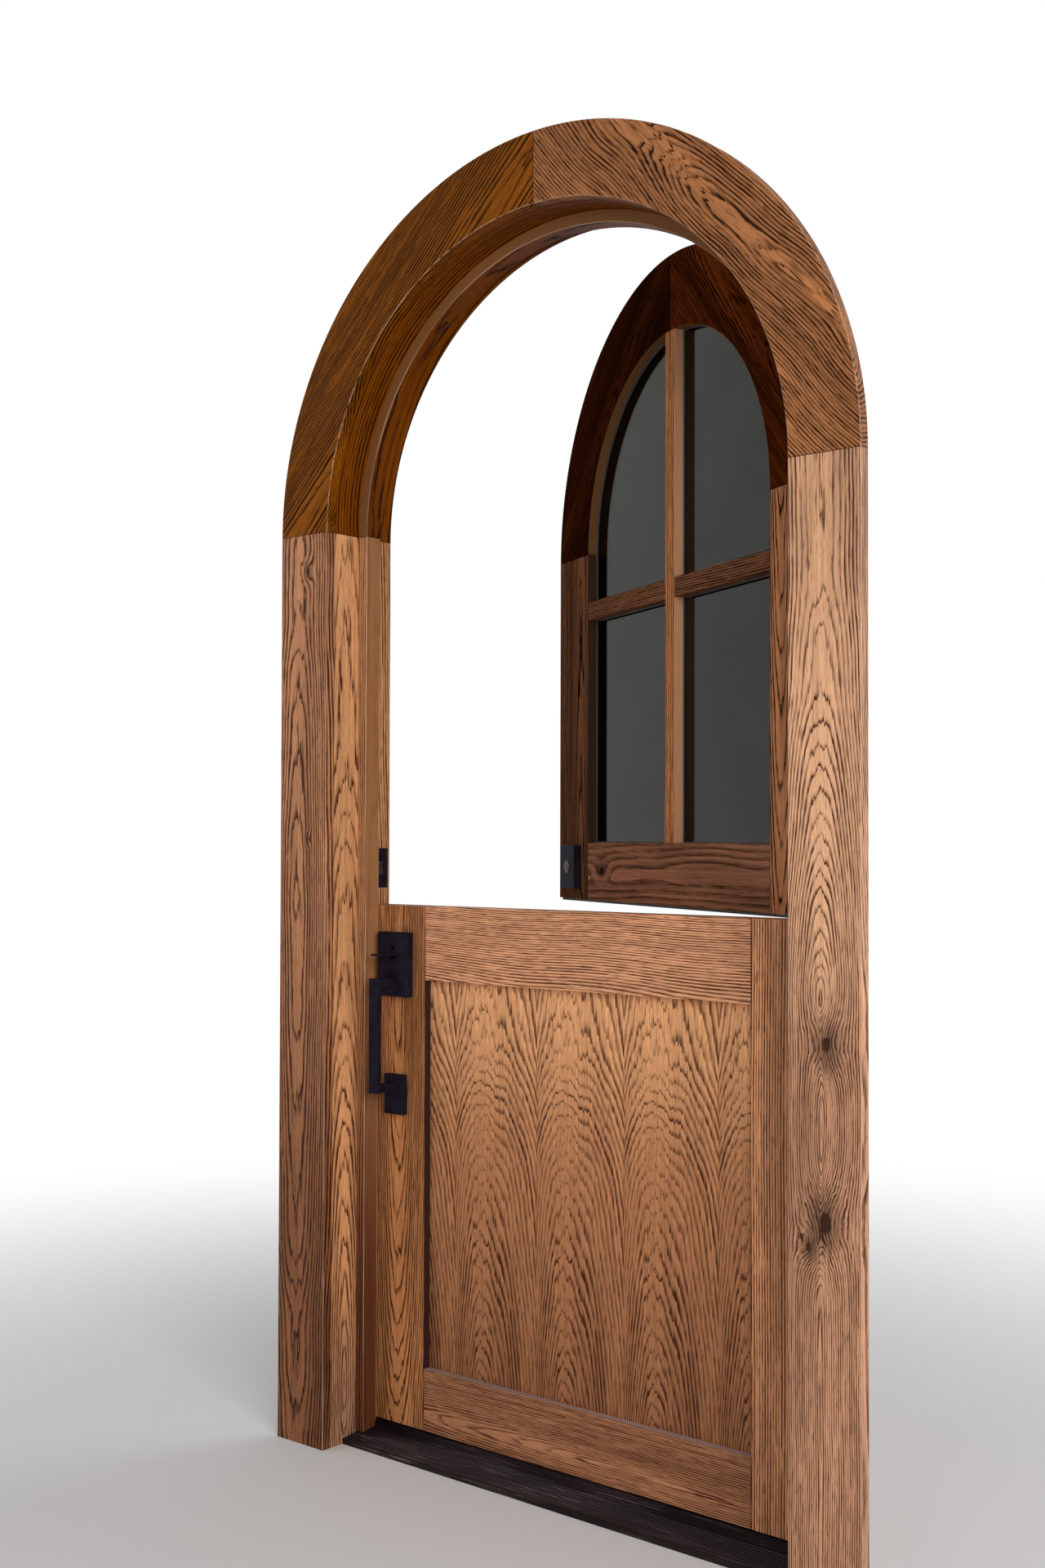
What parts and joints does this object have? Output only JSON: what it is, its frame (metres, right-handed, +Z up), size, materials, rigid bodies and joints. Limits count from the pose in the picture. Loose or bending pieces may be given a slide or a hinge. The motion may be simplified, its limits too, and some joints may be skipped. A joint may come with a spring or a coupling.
{
  "type": "dutch stable door",
  "caption": "Round-headed dutch stable door in its frame: glazed upper leaf that opens by itself over a panelled lower leaf with a grip handle.",
  "frame": {"origin": "on the ground under the sill, at the middle of the frame's width and of the jambs' depth", "axes": "+X to the right seen from outside, +Y into the house, +Z up"},
  "size_m": [1.1494, 0.5764, 2.1437],
  "materials": {
    "frame_wood": "stained, satin",
    "lower_leaf_wood": "stained, satin",
    "panel_veneer": "stained veneer, satin",
    "upper_leaf_wood": "stained, satin",
    "black_metal": "matte black",
    "bolt_steel": "satin",
    "seal_rubber": "matte",
    "sill_core": "matte",
    "sill_bronze": "dark bronze, satin",
    "clear_glass": "clear"
  },
  "bodies": {
    "frame": {"casing_left_leg": "frame_wood", "casing_right_leg": "frame_wood", "casing_left_arch": "frame_wood", "casing_right_arch": "frame_wood", "jamb_left_leg": "frame_wood", "jamb_right_leg": "frame_wood", "jamb_arch": "frame_wood", "stop_left_leg": "frame_wood", "stop_right_leg": "frame_wood", "stop_arch": "frame_wood", "frame_seal": "seal_rubber", "sill_base": "sill_core", "sill_deck": "sill_bronze", "sill_riser": "sill_bronze", "deadbolt_strike": "black_metal", "latch_strike": "black_metal", "hinge_frame_halves": "black_metal", "hinge_pins": "black_metal", "frame_screws": "black_metal"},
    "lower_leaf": {"lower_lock_stile": "lower_leaf_wood", "lower_hinge_stile": "lower_leaf_wood", "lower_top_rail": "lower_leaf_wood", "lower_bottom_rail": "lower_leaf_wood", "lower_panel": "panel_veneer", "lower_sweep": "seal_rubber", "lower_hinge_halves": "black_metal", "latch_case": "black_metal", "handle_plate": "black_metal", "foot_plate": "black_metal", "handle_grip": "black_metal", "inner_rose": "black_metal", "join_keeper": "black_metal", "lower_leaf_screws": "black_metal"},
    "upper_leaf": {"upper_lock_stile": "upper_leaf_wood", "upper_hinge_stile": "upper_leaf_wood", "upper_lock_arch": "upper_leaf_wood", "upper_hinge_arch": "upper_leaf_wood", "upper_bottom_rail": "upper_leaf_wood", "outer_muntin_post": "upper_leaf_wood", "outer_muntin_bars": "upper_leaf_wood", "inner_muntin_post": "upper_leaf_wood", "inner_muntin_bars": "upper_leaf_wood", "glass": "clear_glass", "glazing_beads": "upper_leaf_wood", "upper_seal": "seal_rubber", "upper_hinge_halves": "black_metal", "deadbolt_case": "black_metal", "deadbolt_plate": "black_metal", "deadbolt_cylinder": "black_metal", "deadbolt_rose": "black_metal", "join_plate": "black_metal", "upper_leaf_screws": "black_metal"},
    "latch_bolt": {"latch_bolt": "bolt_steel"},
    "thumb_lever": {"thumb_lever": "black_metal"},
    "inner_lever": {"inner_lever": "black_metal"},
    "deadbolt": {"deadbolt": "bolt_steel"},
    "key_plug": {"key_plug": "black_metal"},
    "thumbturn": {"thumbturn": "black_metal"},
    "join_rod": {"join_rod": "black_metal"}
  },
  "joints": [
    {"name": "upper_leaf_hinge", "type": "hinge", "parent": "frame", "child": "upper_leaf", "pos_m": [0.4588, 0.07455, 1.282], "axis": [0, 0, -1], "range_deg": [-27.3, 82.7]},
    {"name": "lower_leaf_hinge", "type": "hinge", "parent": "frame", "child": "lower_leaf", "pos_m": [0.4588, 0.07455, 0.48], "axis": [0, 0, -1], "range_deg": [0, 110]},
    {"name": "thumbturn_turn", "type": "hinge", "parent": "upper_leaf", "child": "thumbturn", "pos_m": [-0.2934, 0.46892, 0.99], "axis": [0.4587, 0.8886, 0], "range_deg": [0, 90]},
    {"name": "deadbolt_slide", "type": "slide", "parent": "upper_leaf", "child": "deadbolt", "axis": [-0.8886, 0.4587, 0], "range_m": [0, 0.0254]},
    {"name": "key_plug_turn", "type": "hinge", "parent": "upper_leaf", "child": "key_plug", "pos_m": [-0.32092, 0.41561, 0.99], "axis": [0.4587, 0.8886, 0], "range_deg": [-90, 90]},
    {"name": "latch_slide", "type": "slide", "parent": "lower_leaf", "child": "latch_bolt", "axis": [-1, 0, 0], "range_m": [0, 0.0127]},
    {"name": "thumb_lever_press", "type": "hinge", "parent": "lower_leaf", "child": "thumb_lever", "pos_m": [-0.393, 0.01275, 0.845], "axis": [1, 0, 0], "range_deg": [0, 18], "stiffness_Nm_per_rad": 0.5, "springref_deg": -11.46},
    {"name": "inner_lever_turn", "type": "hinge", "parent": "lower_leaf", "child": "inner_lever", "pos_m": [-0.393, 0.09, 0.845], "axis": [0, 1, 0], "range_deg": [0, 45], "stiffness_Nm_per_rad": 2, "springref_deg": -11.46},
    {"name": "join_rod_slide", "type": "slide", "parent": "upper_leaf", "child": "join_rod", "axis": [0, 0, -1], "range_m": [0, 0.03]}
  ],
  "couplings": [
    {"joint": "deadbolt_slide", "follows": "thumbturn_turn", "m_per_rad": 0.01617}
  ]
}
